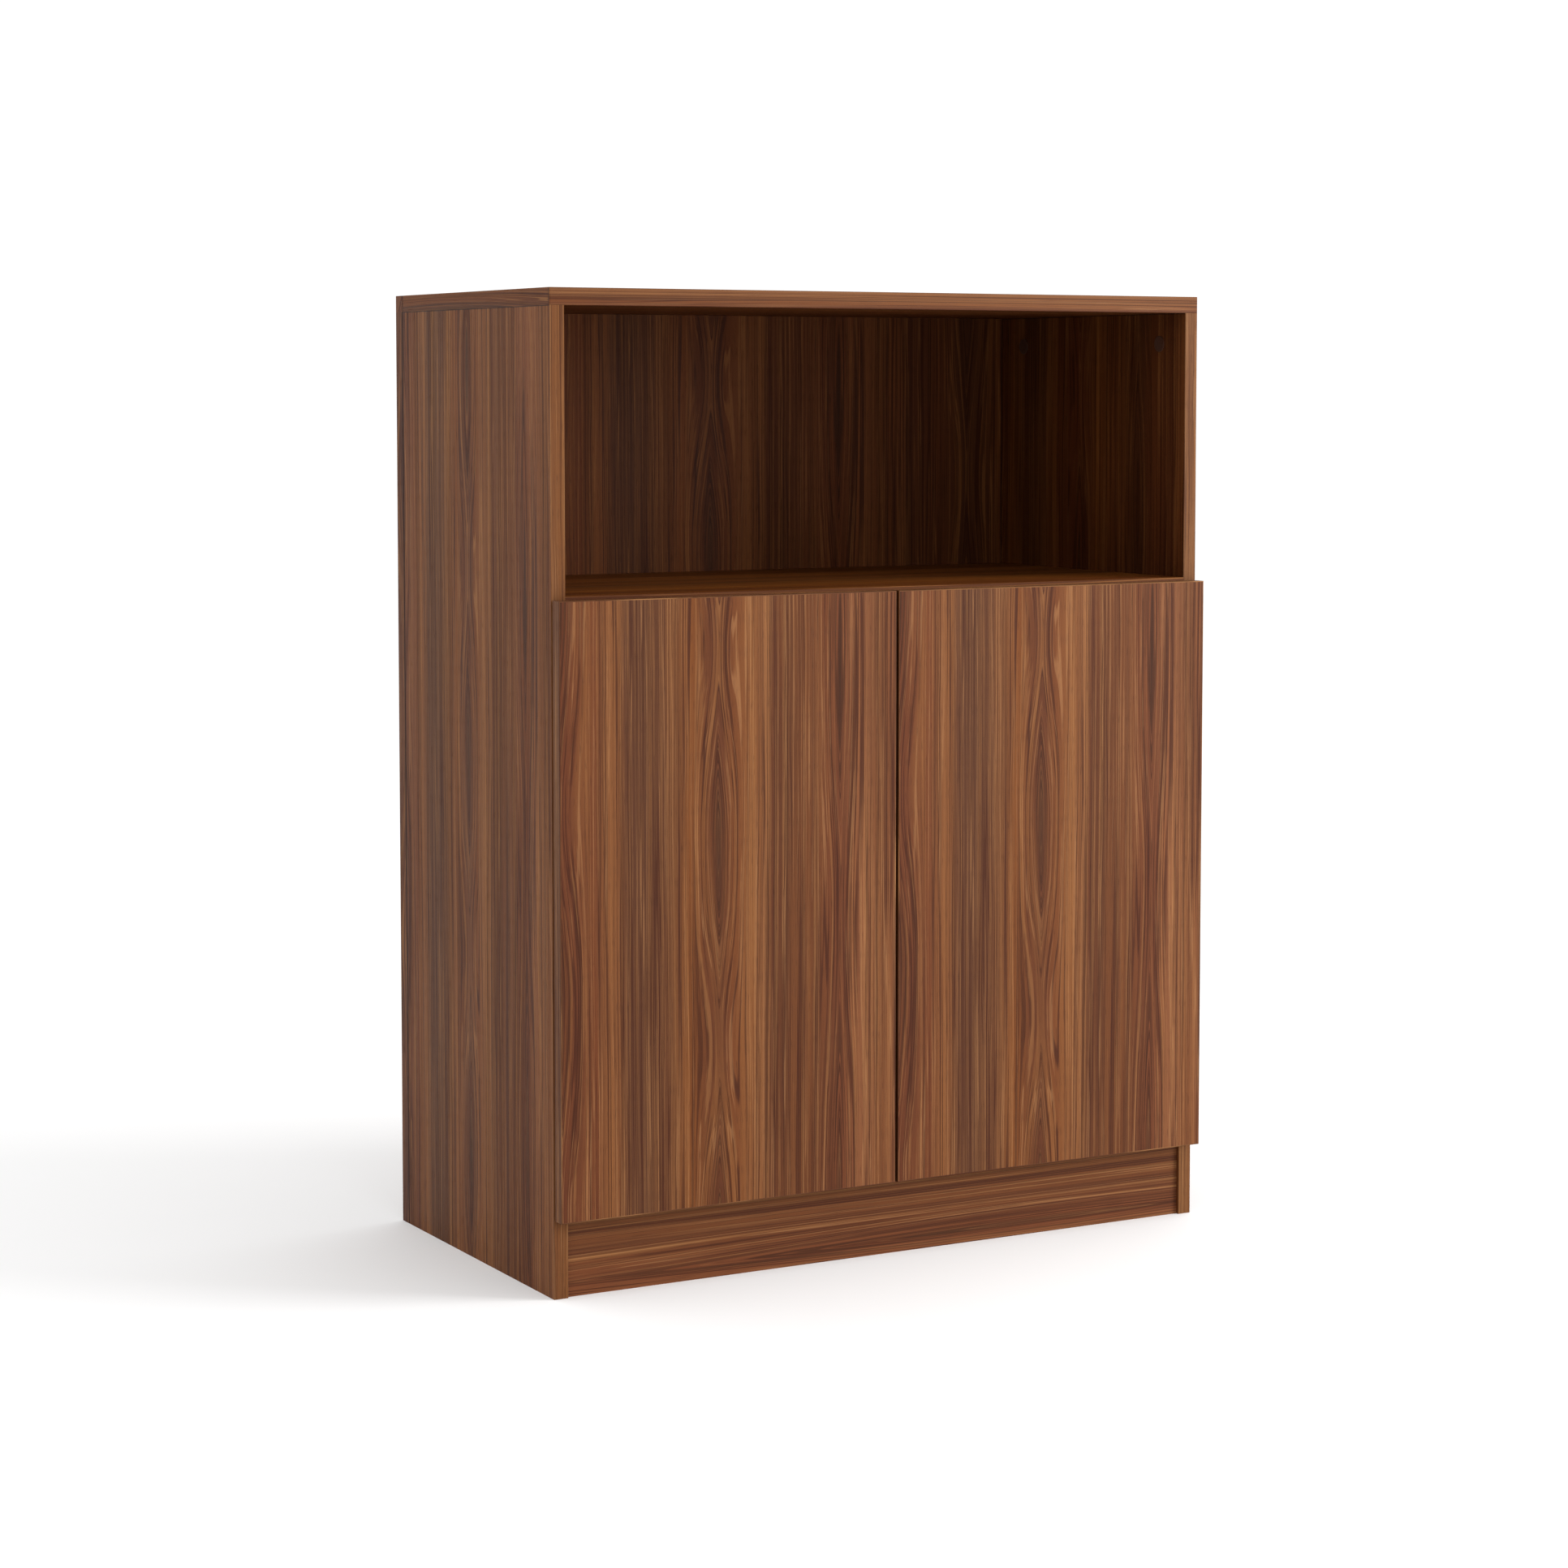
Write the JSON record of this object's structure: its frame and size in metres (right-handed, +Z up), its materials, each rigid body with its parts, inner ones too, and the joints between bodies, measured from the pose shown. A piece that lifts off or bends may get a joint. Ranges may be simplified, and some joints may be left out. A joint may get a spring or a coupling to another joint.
{
  "type": "storage cabinet",
  "caption": "Free-standing wood-decor cabinet with an open top compartment over a cupboard with handleless full-overlay doors on concealed hinges and a plinth.",
  "frame": {"origin": "middle of the footprint on the floor", "axes": "+Z up, -Y is the front with the doors, +X is to the right seen from the front"},
  "size_m": [0.8, 0.4174, 1.04],
  "materials": {
    "walnut_board": "satin walnut-decor laminate on particle board",
    "walnut_edge_band": "satin walnut-decor edge band",
    "beech": "raw",
    "brown_plastic": "satin",
    "zinc": "cast zinc",
    "grey_plastic": "satin",
    "dark_plastic": "satin",
    "clear_rubber": "soft",
    "nickel_steel": "nickel plated"
  },
  "bodies": {
    "carcase": {"adjustable_shelf": "walnut_board", "adjustable_shelf_band": "walnut_edge_band", "back_panel": "walnut_board", "back_screws": "nickel_steel", "bottom_front_band": "walnut_edge_band", "bottom_panel": "walnut_board", "cam_bolts": "zinc", "cam_caps": "brown_plastic", "cam_discs": "zinc", "dowels": "beech", "fixed_shelf": "walnut_board", "left_adjust_screws": "nickel_steel", "left_arm_pins": "nickel_steel", "left_hinge_arms": "nickel_steel", "left_latch_housing": "grey_plastic", "left_latch_screws": "nickel_steel", "left_mounting_plates": "nickel_steel", "left_plate_screws": "nickel_steel", "left_side_panel": "walnut_board", "plinth_front": "walnut_board", "plinth_rear": "walnut_board", "right_adjust_screws": "nickel_steel", "right_arm_pins": "nickel_steel", "right_hinge_arms": "nickel_steel", "right_latch_housing": "grey_plastic", "right_latch_screws": "nickel_steel", "right_mounting_plates": "nickel_steel", "right_plate_screws": "nickel_steel", "right_side_panel": "walnut_board", "shelf_front_band": "walnut_edge_band", "shelf_pins": "zinc", "side_front_bands": "walnut_edge_band", "top_end_bands": "walnut_edge_band", "top_front_band": "walnut_edge_band", "top_panel": "walnut_board", "top_rear_strip": "walnut_board"},
    "left_door": {"left_door": "walnut_board", "left_door_bands": "walnut_edge_band", "left_door_bumpers": "clear_rubber", "left_strike_plate": "nickel_steel", "left_strike_screws": "nickel_steel", "left_hinge_cups": "nickel_steel", "left_cup_pins": "nickel_steel", "left_cup_screws": "nickel_steel"},
    "left_inner_link": {"left_inner_links": "nickel_steel"},
    "left_outer_link": {"left_outer_links": "nickel_steel"},
    "left_plunger": {"left_latch_plunger": "dark_plastic"},
    "right_door": {"right_door": "walnut_board", "right_door_bands": "walnut_edge_band", "right_door_bumpers": "clear_rubber", "right_strike_plate": "nickel_steel", "right_strike_screws": "nickel_steel", "right_hinge_cups": "nickel_steel", "right_cup_pins": "nickel_steel", "right_cup_screws": "nickel_steel"},
    "right_inner_link": {"right_inner_links": "nickel_steel"},
    "right_outer_link": {"right_outer_links": "nickel_steel"},
    "right_plunger": {"right_latch_plunger": "dark_plastic"}
  },
  "joints": [
    {"name": "left_inner_link_pivot", "type": "hinge", "parent": "carcase", "child": "left_inner_link", "pos_m": [-0.36185, -0.17834, 0], "axis": [0, 0, 1], "range_deg": [0, 24.5]},
    {"name": "left_door_swing", "type": "hinge", "parent": "left_inner_link", "child": "left_door", "pos_m": [-0.39028, -0.19545, 0], "axis": [0, 0, -1], "range_deg": [0, 119.49]},
    {"name": "left_outer_link_pivot", "type": "hinge", "parent": "carcase", "child": "left_outer_link", "pos_m": [-0.3741, -0.19738, 0], "axis": [0, 0, 1], "range_deg": [0, 39.3]},
    {"name": "left_plunger_slide", "type": "slide", "parent": "carcase", "child": "left_plunger", "axis": [0, -1, 0], "range_m": [0, 0.02001]},
    {"name": "right_inner_link_pivot", "type": "hinge", "parent": "carcase", "child": "right_inner_link", "pos_m": [0.36185, -0.17834, 0], "axis": [0, 0, -1], "range_deg": [0, 24.5]},
    {"name": "right_door_swing", "type": "hinge", "parent": "right_inner_link", "child": "right_door", "pos_m": [0.39028, -0.19545, 0], "axis": [0, 0, 1], "range_deg": [0, 119.49]},
    {"name": "right_outer_link_pivot", "type": "hinge", "parent": "carcase", "child": "right_outer_link", "pos_m": [0.3741, -0.19738, 0], "axis": [0, 0, -1], "range_deg": [0, 39.3]},
    {"name": "right_plunger_slide", "type": "slide", "parent": "carcase", "child": "right_plunger", "axis": [0, -1, 0], "range_m": [0, 0.02001]}
  ],
  "couplings": [
    {"joint": "left_inner_link_pivot", "follows": "left_door_swing", "ratio": 0.20495},
    {"joint": "left_outer_link_pivot", "follows": "left_door_swing", "ratio": 0.32881},
    {"joint": "left_plunger_slide", "follows": "left_door_swing", "m_per_rad": 0.00959},
    {"joint": "right_inner_link_pivot", "follows": "right_door_swing", "ratio": 0.20495},
    {"joint": "right_outer_link_pivot", "follows": "right_door_swing", "ratio": 0.32881},
    {"joint": "right_plunger_slide", "follows": "right_door_swing", "m_per_rad": 0.00959}
  ]
}
